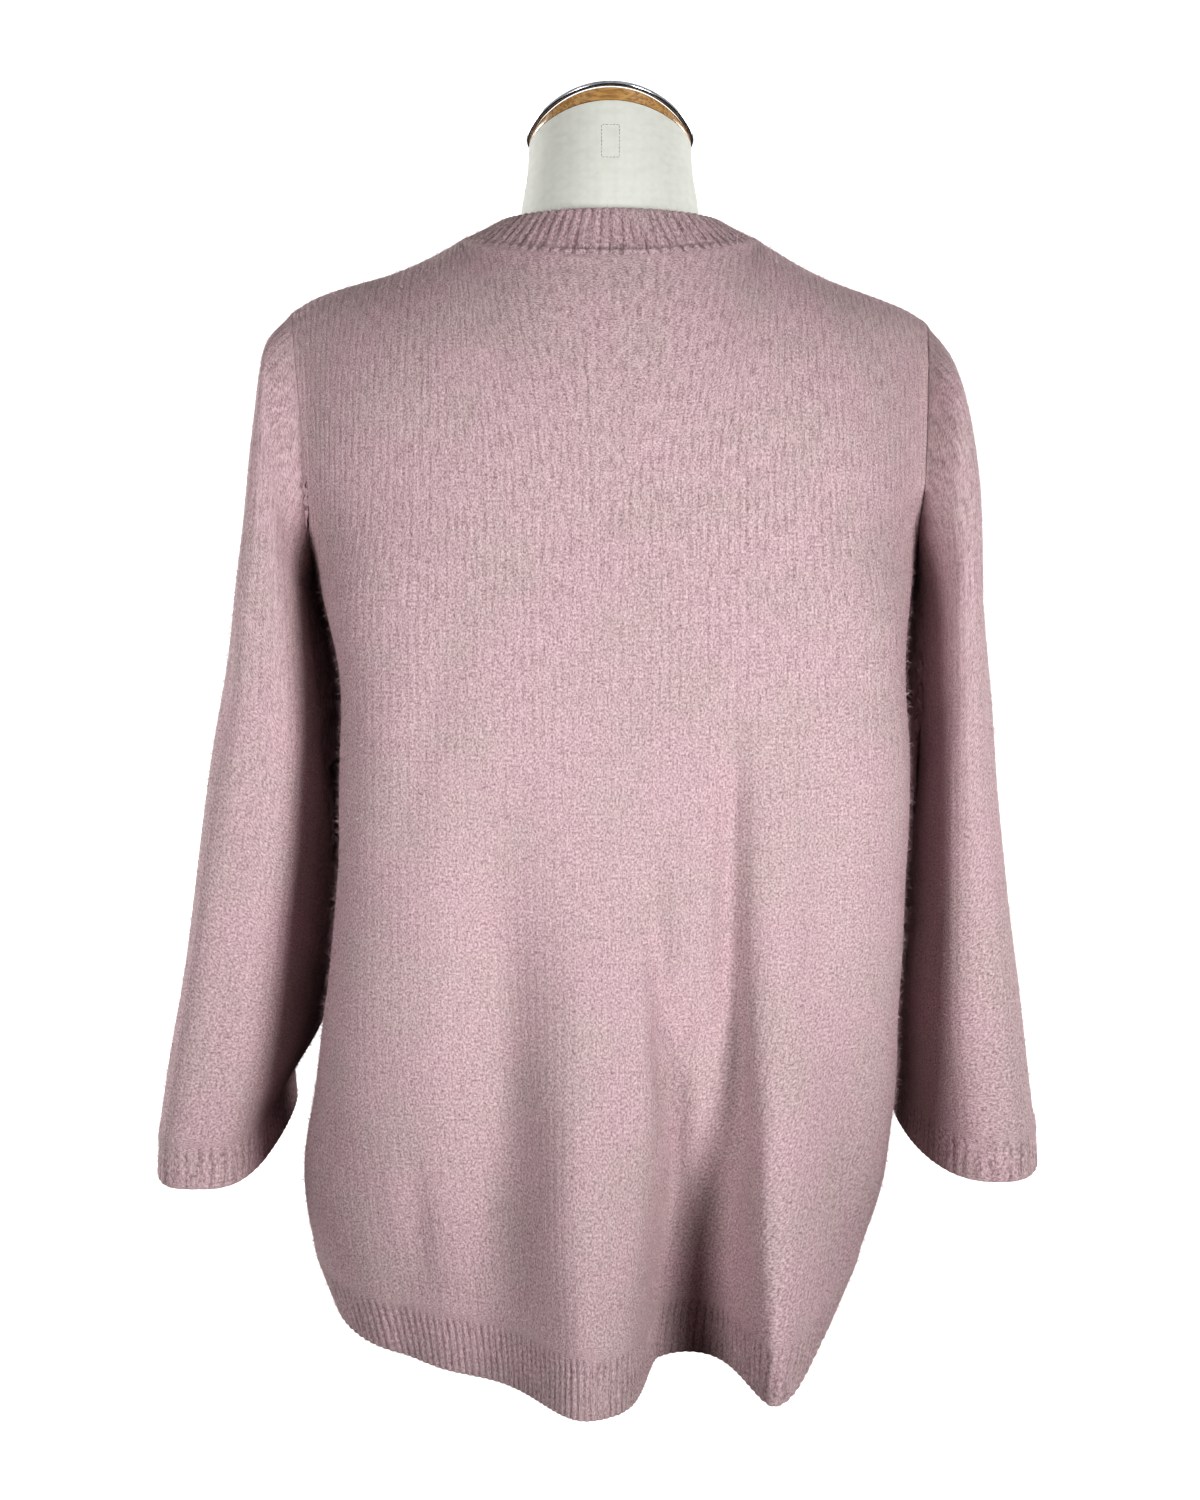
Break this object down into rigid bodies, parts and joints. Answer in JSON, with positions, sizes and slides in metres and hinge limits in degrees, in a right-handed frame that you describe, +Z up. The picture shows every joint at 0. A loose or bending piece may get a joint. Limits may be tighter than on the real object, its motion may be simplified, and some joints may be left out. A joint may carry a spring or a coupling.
{
  "type": "brushed knit pullover sweater on a dress form",
  "caption": "Wide hip-length brushed-knit pullover with ribbed crew neck, hem and cuffs and three-quarter sleeves, draped on a limbless torso dress form",
  "frame": {"origin": "on the ground under the middle of the whole object, where the dress form's flat underside and the surface it stands on meet", "axes": "+Z is up. The garment's back faces -Y and its front faces +Y. +X is the wearer's right. Azimuth 0 looks along +Y at the garment's back, with +X to the right"},
  "size_m": [0.6044, 0.3764, 0.8026],
  "materials": {
    "knit": "brushed mohair-look knit, dusty rose with lighter flecks, matt and fuzzy",
    "cover": "tight cream linen cover, matt",
    "wood": "varnished turned wood, caramel brown",
    "rim": "polished metal wire"
  },
  "bodies": {
    "root": {"back": "knit", "front": "knit", "sleeve_left": "knit", "sleeve_right": "knit", "neck_rib": "knit", "hem_rib_back": "knit", "hem_rib_front": "knit", "cuff_left": "knit", "cuff_right": "knit", "form_body": "cover", "form_neck_block": "wood", "form_neck_rim": "rim"}
  },
  "joints": []
}
